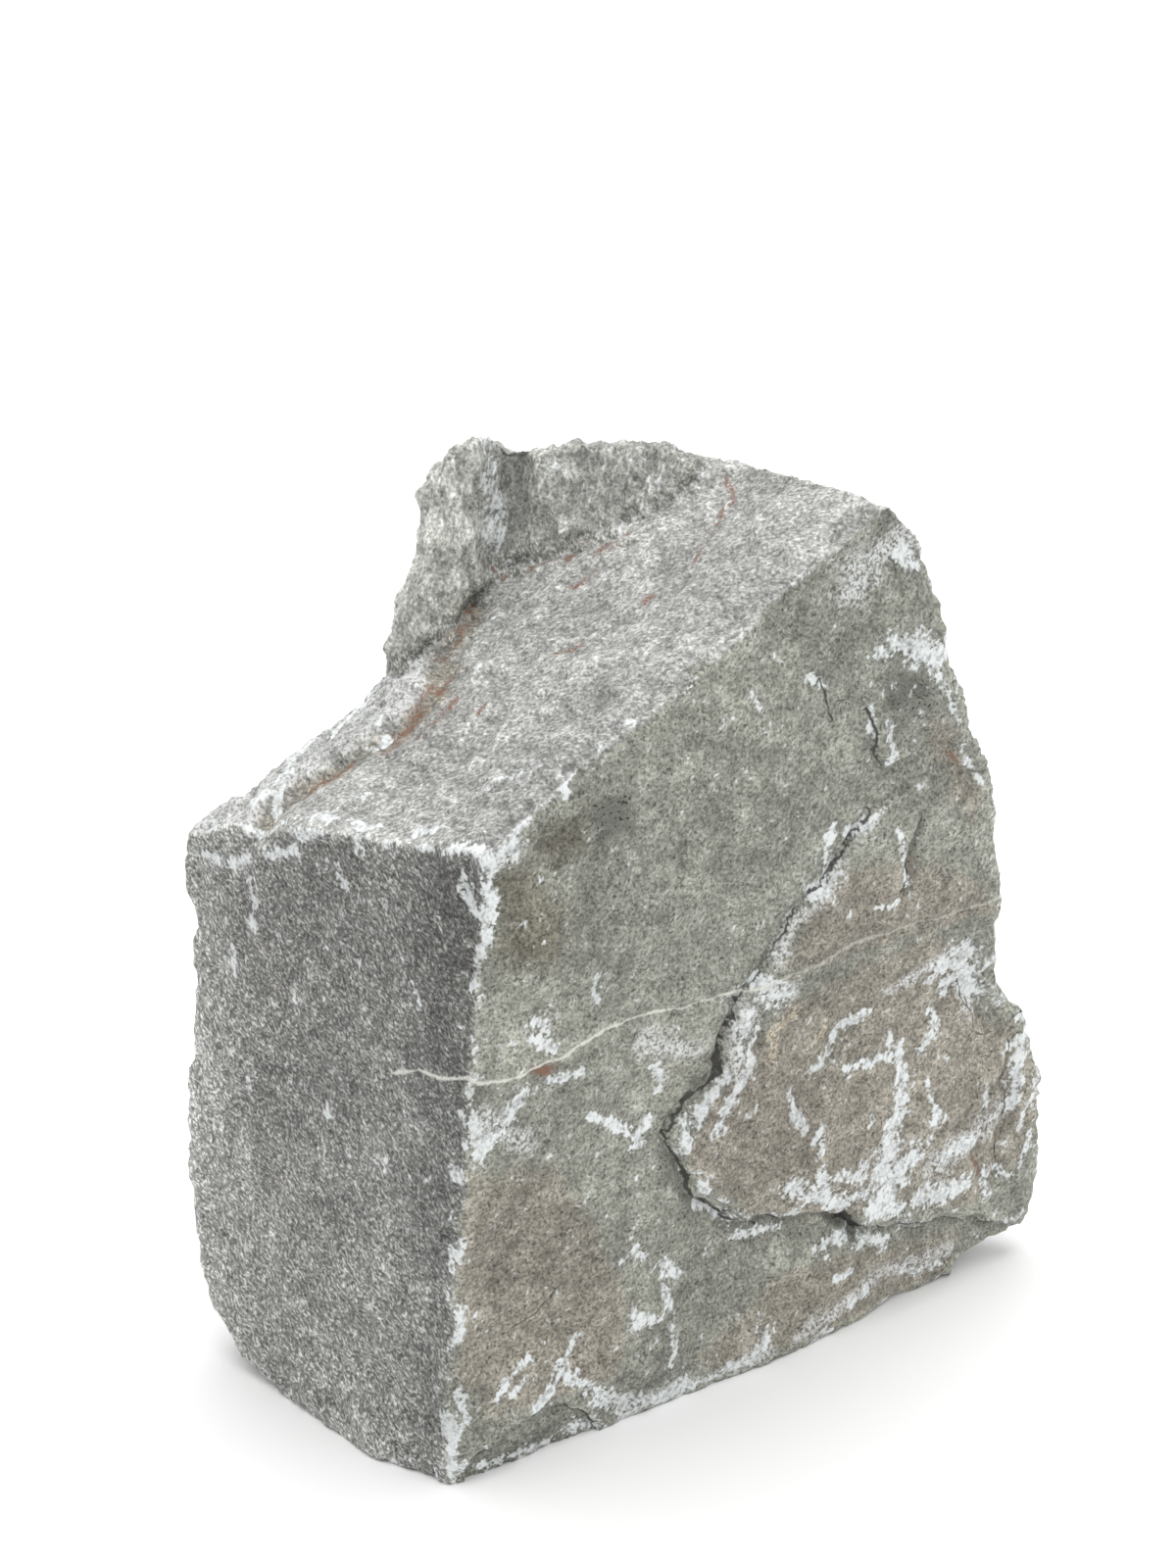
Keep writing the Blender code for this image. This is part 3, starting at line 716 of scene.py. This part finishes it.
def mark_surface(mesh):
    """Work out where the stone changes colour and where light and shade are painted on it, and keep it on
    the mesh.
    """
    points = read_rows(mesh, "co") / MM + np.array((CENTRE_X, CENTRE_Y, 0.0))
    normals = read_rows(mesh, "normal")
    x, y, z = points.T
    above = plane_gap(points, TOP_PLANE)
    out_broad = plane_gap(points, BROAD_PLANE)
    out_narrow = plane_gap(points, NARROW_PLANE)
    ridge = ramp(above, 3.0, 8.0)
    broad = np.exp(-(np.minimum(out_broad + 1.5, 0.0) / 5.0) ** 2) * (1.0 - ridge)
    round_corner = ramp(normals[:, 0] - normals[:, 1], 0.20, -0.30) * ramp(out_narrow, -16, -8)
    broad = broad * (1.0 - round_corner)
    narrow = np.exp(-(np.minimum(out_narrow + 1.5, 0.0) / 5.0) ** 2) * (1.0 - broad)
    top = np.exp(-(np.minimum(above + 2.0, 0.0) / 5.0) ** 2) * (1.0 - ridge)
    upward = top * ramp(normals[:, 2], 0.45, 0.75)
    broad = broad * (1.0 - upward)
    narrow = narrow * (1.0 - upward)
    top = top * ramp(normals[:, 2], 0.35, 0.65)
    broken = np.clip(1.0 - broad - narrow - top - ridge, 0.0, 1.0)

    flat_broad, flat_narrow, flat_top, flat_vein = (
        wandering(points, *across) for across in (ACROSS_BROAD, ACROSS_NARROW, ACROSS_TOP, ALONG_VEIN))

    # White along the edges, on the crests and in the bruises; on the crests it is partly painted highlight.
    loose = 0.62 * ramp(rough(points, 26, 4, 43, (0.8, 0.8, 1.4)), 0.55, 1.1)
    edge_mid = ramp(np.hypot(out_broad, out_narrow), 5.0, 0.5) * ramp(rough(points, 12, 3, 44), 0.05, 0.6)
    edge_head = ramp(np.hypot(above, out_narrow), 3.4, 0.3) * ramp(rough(points, 9, 3, 45), -0.25, 0.5)
    edge_long = ramp(np.hypot(above, out_broad), 5.0, 0.5) * ramp(rough(points, 14, 3, 46), 0.15, 0.9)
    band_middle, band_half = RIDGE_BAND
    band = ridge * np.exp(-((x - band_middle) / band_half) ** 2)
    crest = stands_out(mesh, points, normals)
    # White wear on the sharp crests, partly a painted highlight along every edge.
    crest_wear_and_highlight = ramp(crest, 0.55, 1.0) * ramp(rough(points, 8, 3, 54), 0.05, 0.7)
    bruise = np.maximum.reduce([
        broad * stroke_field(flat_broad, BROAD_BRUISES),
        narrow * stroke_field(flat_narrow, NARROW_BRUISES),
        (top + ridge) * stroke_field(flat_top, TOP_BRUISES),
        (broken + 0.5 * ridge) * loose, edge_mid, edge_head, 0.7 * edge_long, 0.62 * band,
        0.62 * (1.0 - 0.7 * ridge) * crest_wear_and_highlight])
    behind = inside(flat_top, TOP_HOLLOW + SHOULDER_FAR_SIDE)
    hollow_gap = line_distance(flat_top, TOP_HOLLOW)[0]
    powder = np.maximum(top * np.where(behind, ramp(hollow_gap, 0, 5) * 0.55, 0.0),
                        broad * stroke_field(flat_broad, BROAD_DUST) * 0.85)

    # Stains and patches.
    rust = np.maximum.reduce([
        (top + ridge * ramp(above, 14, 5)) * stroke_field(flat_top, TOP_RUST, 1.5),
        narrow * stroke_field(flat_narrow, NARROW_RUST),
        1.25 * broad * stroke_field(flat_broad, BROAD_RUST)])
    brown = np.maximum.reduce([
        broad * patch_field(flat_broad, BROWN_PATCHES, 6.0),
        (0.45 * broken + 0.2 * narrow) * ramp(rough(points, 42, 3, 48), 0.15, 0.9),
        top * ramp(hollow_gap, 9, 1) * 0.75])

    # How light each place is. On the ridge, in the crease at its foot, on the crests and in the crevices
    # this is painted light and shade.
    tone = 1.0 - 0.08 * broad - 0.08 * top - 0.03 * narrow
    tone += narrow * 0.42 * ramp(y, 66, 97) * ramp(normals[:, 1], 0.6, 0.1)
    tone -= narrow * 0.26 * ramp(y, 26, 2)
    tone += narrow * (0.18 * ramp(z, 110, 30) - 0.12 * ramp(z, 110, 180))
    tone -= broad * (0.32 * hill(x, z, FOOT_SHADE) + 0.16 * hill(x, z, CORNER_SHADE))
    # Painted light on the ridge's left part, which faces the light, and painted shade on its right part.
    tone += ridge * (0.34 * ramp(x, 84, 62) - 0.10 * ramp(x, 100, 120))
    # Painted light that lifts the shade in the crease at the foot of the ridge.
    tone += (top + ridge) * 0.24 * close_to(flat_top, RIDGE_FOOT, 1, 8)
    # Painted highlights on the crests and painted shade in the crevices.
    tone *= 1.0 + crest * np.where(crest > 0.0, 0.24, 0.24 - 0.12 * ridge)

    # The vein, and the cracks with the painted shadow beneath the plate's lip.
    vein, vein_mask = line_field(flat_vein, (VEIN,))
    side_vein, side_mask = line_field(0.7 * points[:, 1:] + 0.3 * flat_narrow, (NARROW_VEIN,))
    on_narrow = narrow > broad
    fades = 1.0 - 0.6 * ramp(x, 100, 112)
    crack, crack_mask = line_field(flat_broad, (PLATE_EDGE, END_FOLD, FOOT_SCAR) + HAIRLINES)
    gape_and_shadow = np.zeros(len(points))
    for x1, z1, x2, z2, width in GAPES_AND_SHADOWS:
        near = close_to(flat_broad, ((x1, z1), (x2, z2)), 1.5, 4.5)
        gape_and_shadow = np.maximum(gape_and_shadow, broad * width * near)

    marks = {
        "broad": broad, "narrow": narrow + 0.8 * broken, "top": top, "ridge": ridge, "bruise": bruise,
        "powder": powder, "rust": rust, "brown": brown,
        "olive": broad * patch_field(flat_broad, OLIVE_PATCHES, 5.0),
        "dark": broad * patch_field(flat_broad, DARK_AND_SHADOW_PATCHES, 3.0), "gape_and_shadow": gape_and_shadow, "tone": tone,
        "ochre": broad * stroke_field(flat_broad, BROAD_OCHRE),
        "pale": broad * patch_field(flat_broad, PALE_PATCHES, 5.0),
        "vein": np.where(on_narrow, side_vein, vein),
        "vein_mask": np.where(on_narrow, side_mask * narrow, vein_mask * broad * fades),
        "crack": crack, "crack_mask": crack_mask * broad,
    }
    for name, values in marks.items():
        layer = mesh.attributes.new(name, "FLOAT", "POINT")
        layer.data.foreach_set("value", np.ascontiguousarray(values, dtype=np.float32))


class Graph:
    """Adds nodes to a tree and joins them."""

    def __init__(self, tree):
        self.tree = tree

    def add(self, kind, inputs=None, **settings):
        """Add a node, set its options and give its inputs a value or a socket to read."""
        node = self.tree.nodes.new(kind)
        for name, value in settings.items():
            setattr(node, name, value)
        for key, value in (inputs or {}).items():
            socket = node.inputs[key]
            if isinstance(value, bpy.types.NodeSocket):
                self.tree.links.new(value, socket)
            else:
                socket.default_value = value
        return node

    def math(self, operation, first, second=0.0, third=0.0):
        """Return the result of one sum."""
        inputs = {0: first, 1: second, 2: third}
        return self.add("ShaderNodeMath", inputs, operation=operation).outputs[0]

    def spread(self, value, low, high, to_low=0.0, to_high=1.0):
        """Return a smooth step from one value to another, as the given value goes from low to high."""
        inputs = {"Value": value, "From Min": low, "From Max": high, "To Min": to_low, "To Max": to_high}
        return self.add("ShaderNodeMapRange", inputs, interpolation_type="SMOOTHSTEP").outputs[0]

    def mix(self, part, first, second, blend="MIX"):
        """Return one colour laid over another."""
        inputs = {0: part}
        for key, value in ((6, first), (7, second)):
            inputs[key] = value if isinstance(value, bpy.types.NodeSocket) else (*value, 1.0)
        node = self.add("ShaderNodeMix", inputs, data_type="RGBA", blend_type=blend, clamp_factor=True)
        return node.outputs[2]

    def kept(self, name):
        """Return a value that is kept on the mesh."""
        return self.add("ShaderNodeAttribute", attribute_name=name).outputs["Fac"]

    def noise(self, place, size, detail, sizes=None, turn=(0.0, 0.0, 0.0), shift=0.0):
        """Return noise around a half, whose lumps have the size, or three sizes along turned axes."""
        if sizes or shift:
            inputs = {"Vector": place, "Location": (shift, shift, shift), "Rotation": turn,
                      "Scale": sizes or (1.0, 1.0, 1.0)}
            place = self.add("ShaderNodeMapping", inputs, vector_type="TEXTURE").outputs[0]
        inputs = {"Vector": place, "Scale": 1.0 / size, "Detail": detail, "Roughness": 0.6}
        return self.add("ShaderNodeTexNoise", inputs).outputs["Fac"]

    def times(self, *values):
        """Return the product of several values."""
        return reduce(lambda product, value: self.math("MULTIPLY", product, value), values)

    def plus(self, *values):
        """Return the sum of several values."""
        return reduce(lambda total, value: self.math("ADD", total, value), values)

    def scaled(self, value, amount, start):
        """Return the start and the amount times the value."""
        return self.math("MULTIPLY_ADD", value, amount, start)

    def around(self, value, amount):
        """Return the value moved so that a half becomes 0, and scaled by the amount."""
        return self.scaled(value, amount, -0.5 * amount)


def stone_material(settings):
    """Return the material of the stone, which reads what mark_surface keeps on the mesh."""
    material = bpy.data.materials.new("Grey alabaster")
    material.use_nodes = True
    graph = Graph(material.node_tree)
    kept, mix, spread, times, plus = graph.kept, graph.mix, graph.spread, graph.times, graph.plus
    scaled, around = graph.scaled, graph.around
    shader = material.node_tree.nodes["Principled BSDF"]
    place = graph.add("ShaderNodeTexCoord").outputs["Object"]
    place = graph.add("ShaderNodeVectorMath", {0: place, "Scale": 1.0 / MM}, operation="SCALE").outputs[0]

    cloud = graph.noise(place, 30.0, 2.0, shift=57.0)
    middle = graph.noise(place, 6.0, 4.0)
    grain = graph.noise(place, 1.1, 3.0)
    fine = graph.noise(place, 0.85, 1.5, shift=31.0)
    fleck = graph.noise(place, 1.0, 2.0, (0.66, 0.66, 1.75), (-0.92, 0.30, 0.0), 12.0)
    flake = graph.noise(place, 1.0, 2.0, (1.9, 1.9, 5.0), (-0.62, 0.62, 0.0), 71.0)
    streak = graph.noise(place, 1.0, 3.0, (1.9, 0.85, 0.85), (0.0, -0.3, -1.08), 7.0)
    furrow = graph.noise(place, 1.0, 3.0, (1.1, 1.1, 3.4), (-0.15, 0.35, 0.0), 23.0)

    broad, narrow, top, ridge = (kept(name) for name in ("broad", "narrow", "top", "ridge"))

    # The colour of each face, with its patches.
    warm = spread(plus(kept("brown"), around(middle, 1.6)), 0.25, 0.85)
    base = mix(narrow, settings.green_grey, settings.neutral_grey)
    base = mix(top, base, settings.lit_top_grey)
    base = mix(ridge, base, settings.ridge_grey)
    base = mix(warm, base, settings.brown)
    base = mix(times(kept("olive"), 0.75), base, OLIVE)
    base = mix(times(kept("pale"), 0.35), base, PALE)
    ochre = spread(plus(kept("ochre"), around(grain, 1.4)), 0.35, 0.8)
    base = mix(times(ochre, 0.8), base, OCHRE)

    # Light flecks, dark pits and the play of the grain, with painted shade in the low furrows and streaks,
    # painted shadow from the dark patches and the painted light and shade kept in the tone.
    light = plus(times(spread(fleck, 0.50, 0.59), scaled(narrow, 1.3, 0.26)),
                 times(spread(flake, 0.60, 0.70), narrow, 0.9),
                 times(spread(streak, 0.50, 0.62), top, 0.5),
                 times(spread(furrow, 0.50, 0.62), ridge, 0.42))
    # The dark patches carry painted shadow in the recess, the pit and beneath the plate's edge.
    dark_and_shadow = plus(kept("dark"), around(middle, 1.2), around(grain, 3.0))
    shade = plus(times(spread(fine, 0.36, 0.42, 1.0, 0.0), scaled(broad, 0.28, 0.27)),
                 times(spread(grain, 0.30, 0.48, 1.0, 0.0), narrow, 0.30),
                 # Painted shade in the low places of the ridge's furrows and of the top's streaks, which
                 # the bump also lowers.
                 times(spread(furrow, 0.33, 0.45, 1.0, 0.0), ridge, 0.25),
                 times(spread(streak, 0.36, 0.44, 1.0, 0.0), top, 0.28),
                 times(spread(dark_and_shadow, 0.65, 1.0), 0.4))
    tone = times(kept("tone"), spread(cloud, 0.3, 0.7, 0.84, 1.16), spread(middle, 0.3, 0.7, 0.80, 1.20),
                 spread(grain, 0.3, 0.7, 0.60, 1.40), plus(1.0, light), graph.math("SUBTRACT", 1.0, shade))
    tone = graph.add("ShaderNodeCombineColor", {0: tone, 1: tone, 2: tone}).outputs[0]
    colour = mix(1.0, base, tone, "MULTIPLY")

    # Rust, dust and crushed white stone.
    grit = plus(around(grain, 1.6), around(fine, 1.0))
    ragged = plus(around(middle, 1.5), times(grit, 0.4), around(flake, 2.4))
    stain = spread(plus(kept("rust"), around(middle, 2.2)), 0.20, 0.90)
    rusty = plus(scaled(kept("rust"), 0.9, grit), around(middle, 1.6))
    rusty = graph.math("MAXIMUM", times(stain, 0.16), times(spread(rusty, 0.66, 0.86), 0.88))
    colour = mix(rusty, colour, settings.rust)
    speckle = plus(times(fleck, 0.5), times(grain, 0.5))
    dusty = times(spread(plus(kept("powder"), around(middle, 1.4)), 0.2, 0.9), spread(speckle, 0.42, 0.56))
    colour = mix(dusty, colour, DUST)
    bruise = plus(kept("bruise"), ragged)
    crumbs = plus(times(kept("bruise"), 0.9), grit, around(fleck, 1.4))
    crushed = graph.math("MAXIMUM", spread(bruise, 0.48, 0.80), spread(crumbs, 0.66, 0.84))
    halo = times(spread(bruise, 0.28, 0.66), spread(middle, 0.40, 0.60, 0.15, 0.55))
    inner = spread(plus(times(flake, 0.5), times(grain, 0.5)), 0.38, 0.58)
    white = mix(inner, [0.52 * part for part in settings.bruise], settings.bruise)
    colour = mix(halo, colour, [0.70 * part for part in settings.bruise])
    colour = mix(times(crushed, spread(cloud, 0.35, 0.55, 0.70, 0.97)), colour, white)

    # The vein, and the cracks with the painted shadow beneath the plate's lip.
    gap = graph.math("ABSOLUTE", plus(kept("vein"), around(grain, 1.2)))
    gap = graph.math("SUBTRACT", gap, spread(middle, 0.3, 0.7, -0.05, 0.50))
    in_vein = times(spread(gap, -0.2, 0.6, 1.0, 0.0), kept("vein_mask"))
    in_vein = times(in_vein, spread(fine, 0.3, 0.55, 0.6, 0.95))
    colour = mix(in_vein, colour, settings.vein)
    gap = graph.math("ABSOLUTE", plus(kept("crack"), around(grain, 1.0)))
    gap = graph.math("SUBTRACT", gap, kept("gape_and_shadow"))
    gap = graph.math("SUBTRACT", gap, spread(middle, 0.38, 0.66, -0.15, 0.25))
    in_crack = times(spread(gap, 0.0, 0.3, 1.0, 0.0), kept("crack_mask"), 0.88)
    colour = mix(in_crack, colour, CRACK)

    height = plus(times(grain, 0.5), times(fleck, scaled(narrow, 0.5, 0.2)),
                  times(furrow, ridge, 1.3), times(streak, top, 0.5))
    bump = graph.add("ShaderNodeBump", {"Height": height, "Strength": 0.7, "Distance": 0.8 * MM})
    tree = material.node_tree
    tree.links.new(bump.outputs[0], shader.inputs["Normal"])
    tree.links.new(colour, shader.inputs["Base Color"])
    tree.links.new(spread(crushed, 0.0, 1.0, 0.72, 0.95), shader.inputs["Roughness"])
    shader.inputs["Specular IOR Level"].default_value = 0.35
    return material


def relief_tree(material):
    """Return the node tree that raises the grains of the stone and gives it its material."""
    tree = bpy.data.node_groups.new("Stone grain", "GeometryNodeTree")
    for name, kind in (("Geometry", "Geometry"), ("Grain", "Float"), ("Grain Height", "Float"),
                       ("Seed", "Float"), ("Material", "Material")):
        tree.interface.new_socket(name, in_out="INPUT", socket_type="NodeSocket" + kind)
    tree.interface.new_socket("Geometry", in_out="OUTPUT", socket_type="NodeSocketGeometry")
    graph = Graph(tree)
    given = graph.add("NodeGroupInput").outputs
    place = graph.add("GeometryNodeInputPosition").outputs[0]
    facing = graph.add("GeometryNodeInputNormal").outputs[0]
    scale = graph.math("DIVIDE", 1.0, given["Grain"])
    inputs = {"Vector": place, "W": given["Seed"], "Scale": scale, "Detail": 2.0, "Roughness": 0.6}
    grains = graph.add("ShaderNodeTexNoise", inputs, noise_dimensions="4D").outputs["Fac"]
    above_floor = graph.add("ShaderNodeSeparateXYZ", {0: place}).outputs[2]
    height = graph.times(graph.around(grains, 2.0), given["Grain Height"],
                         graph.spread(above_floor, 0.0006, 0.0020))
    shift = graph.add("ShaderNodeVectorMath", {0: facing, "Scale": height}, operation="SCALE").outputs[0]
    inputs = {"Geometry": given["Geometry"], "Offset": shift}
    moved = graph.add("GeometryNodeSetPosition", inputs).outputs[0]
    plain = graph.add("GeometryNodeRealizeInstances", {0: moved}).outputs[0]
    inputs = {"Geometry": plain, "Material": given["Material"]}
    shaded = graph.add("GeometryNodeSetMaterial", inputs).outputs[0]
    graph.add("NodeGroupOutput", {0: shaded})
    return tree


def raise_grain(item, material, settings):
    """Run the grain tree on the stone and keep its result as a plain mesh."""
    tree = relief_tree(material)
    step = item.modifiers.new("Stone grain", "NODES")
    step.node_group = tree
    values = {"Grain": settings.grain, "Grain Height": settings.grain_height, "Seed": float(SEED),
              "Material": material}
    for socket in tree.interface.items_tree:
        if socket.in_out == "INPUT" and socket.name in values:
            step[socket.identifier] = values[socket.name]
    bake(item)


class ALABASTER_OT_stone(bpy.types.Operator):
    """Build the stone with its relief and its material"""

    bl_idname = "alabaster.stone"
    bl_label = "Stone"
    bl_options = {"REGISTER", "UNDO"}

    def execute(self, context):
        settings = context.scene.alabaster_stone
        stone = hull("stone", BLOCK)
        for number, corners in enumerate((LOW_LUMP, HIGH_LUMP, LOBE, KNOB)):
            combine(stone, hull(f"lump_{number}", corners), "UNION")
        for number, (middle, radii, turn) in enumerate(SCOOPS):
            combine(stone, scoop(f"scoop_{number}", middle, radii, turn), "DIFFERENCE")
        voxel = settings.skin / MM
        step = stone.modifiers.new("Even skin", "REMESH")
        step.mode = "VOXEL"
        step.voxel_size = voxel
        bake(stone)
        shown = settle(stone, voxel)
        thin_out(stone, shown, settings.triangles)
        to_row_frame(stone)
        material = stone_material(settings)
        raise_grain(stone, material, settings)
        mark_surface(stone.data)
        stone.data.name = "stone"
        if len(stone.data.polygons) > TRIANGLE_LIMIT:
            raise RuntimeError("the stone has too many triangles")
        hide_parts(NODE)
        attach(stone, "root")
        return {"FINISHED"}


def area_light(name, place, aim, size, power):
    """Add one large soft light that points at a place."""
    light = bpy.data.lights.new(name, "AREA")
    light.shape = "DISK"
    light.size = size
    light.energy = power
    item = bpy.data.objects.new(name, light)
    item.location = place
    item.rotation_euler = (Vector(aim) - Vector(place)).to_track_quat("-Z", "Y").to_euler()
    bpy.context.scene.collection.objects.link(item)


class ALABASTER_OT_stage(bpy.types.Operator):
    """Lay the floor, hang the lights and place the camera"""

    bl_idname = "alabaster.stage"
    bl_label = "Stage"
    bl_options = {"REGISTER", "UNDO"}

    def execute(self, context):
        scene = context.scene
        settings = scene.alabaster_stage
        shape = bmesh.new()
        bmesh.ops.create_grid(shape, x_segments=1, y_segments=1, size=settings.floor_size / 2)
        floor = as_object("floor", shape)
        paint = bpy.data.materials.new("Pale floor")
        paint.use_nodes = True
        shader = paint.node_tree.nodes["Principled BSDF"]
        shader.inputs["Base Color"].default_value = (0.86, 0.86, 0.86, 1.0)
        shader.inputs["Roughness"].default_value = 0.9
        floor.data.materials.append(paint)

        world = bpy.data.worlds.new("Pale room")
        world.use_nodes = True
        sky = world.node_tree.nodes["Background"]
        sky.inputs["Color"].default_value = (1.0, 1.0, 1.0, 1.0)
        sky.inputs["Strength"].default_value = settings.sky
        scene.world = world
        area_light("overhead light", (0.3, 0.5, 3.0), (0.3, 0.5, 0.0), 3.5, settings.key)
        area_light("front light", (0.75, -1.45, 0.75), (0.0, 0.0, 0.12), 1.2, settings.fill)

        lens = bpy.data.cameras.new("camera")
        lens.lens = settings.lens
        lens.sensor_width = 36.0
        camera = bpy.data.objects.new("camera", lens)
        camera.location = settings.camera_place
        camera.rotation_euler = (math.pi / 2 - settings.camera_dip, 0.0, settings.camera_turn)
        scene.collection.objects.link(camera)
        scene.camera = camera
        scene.view_settings.view_transform = "Standard"
        return {"FINISHED"}


class ALABASTER_PT_panel(bpy.types.Panel):
    """Sidebar panel with the stone, the stage and their settings"""

    bl_idname = "ALABASTER_PT_panel"
    bl_label = "Alabaster Block"
    bl_space_type = "VIEW_3D"
    bl_region_type = "UI"
    bl_category = "Alabaster"

    def draw(self, context):
        scene = context.scene
        groups = {"alabaster.stone": scene.alabaster_stone, "alabaster.stage": scene.alabaster_stage}
        for kind, group in groups.items():
            box = self.layout.box()
            box.operator(kind)
            for name in group.bl_rna.properties.keys():
                if name not in {"rna_type", "name"}:
                    box.prop(group, name)


CLASSES = (StoneSettings, StageSettings, ALABASTER_OT_stone, ALABASTER_OT_stage, ALABASTER_PT_panel)


def register():
    """Make the settings, operators and panel known to Blender."""
    for item in CLASSES:
        bpy.utils.register_class(item)
    bpy.types.Scene.alabaster_stone = PointerProperty(type=StoneSettings)
    bpy.types.Scene.alabaster_stage = PointerProperty(type=StageSettings)


def unregister():
    """Take the settings, operators and panel away again."""
    del bpy.types.Scene.alabaster_stage
    del bpy.types.Scene.alabaster_stone
    for item in reversed(CLASSES):
        bpy.utils.unregister_class(item)


def main():
    """Build everything."""
    register()
    bpy.ops.alabaster.stone()
    bpy.ops.alabaster.stage()


if __name__ == "__main__":
    main()
